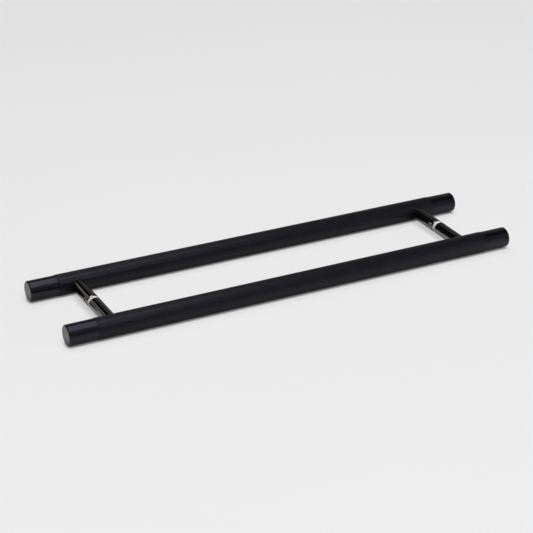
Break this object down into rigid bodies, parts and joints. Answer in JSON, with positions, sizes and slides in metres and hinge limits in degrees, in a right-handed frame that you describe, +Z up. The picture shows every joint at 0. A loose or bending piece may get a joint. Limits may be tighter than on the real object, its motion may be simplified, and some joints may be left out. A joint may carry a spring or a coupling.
{
  "type": "door pull",
  "caption": "Straight bar handles set back to back, with knurled grips and smooth ends, joined post to post through a door by studs, with white washers at the door's faces.",
  "frame": {"origin": "bottom centre of the pull's bounding box, on the surface that both bars lie on, with the door's middle plane at Y = 0", "axes": "+X along the bars, +Y through the door from the front handle to the rear one, +Z up from the surface"},
  "size_m": [0.5, 0.1264, 0.0218],
  "materials": {
    "knurled_black": "matte",
    "satin_black": "satin",
    "dark_chrome": "polished",
    "zinc_steel": "satin",
    "nickel_steel": "satin",
    "white_nylon": "satin"
  },
  "bodies": {
    "root": {"grip_front": "knurled_black", "grip_rear": "knurled_black", "cap_front_left": "satin_black", "cap_front_right": "satin_black", "cap_rear_left": "satin_black", "cap_rear_right": "satin_black", "post_front_left": "dark_chrome", "post_front_right": "dark_chrome", "post_rear_left": "dark_chrome", "post_rear_right": "dark_chrome", "post_stud_front_left": "zinc_steel", "post_stud_front_right": "zinc_steel", "post_stud_rear_left": "zinc_steel", "post_stud_rear_right": "zinc_steel", "door_stud_left": "zinc_steel", "door_stud_right": "zinc_steel", "grub_screw_left": "nickel_steel", "grub_screw_right": "nickel_steel", "washer_front_left": "white_nylon", "washer_front_right": "white_nylon", "washer_rear_left": "white_nylon", "washer_rear_right": "white_nylon"}
  },
  "joints": []
}
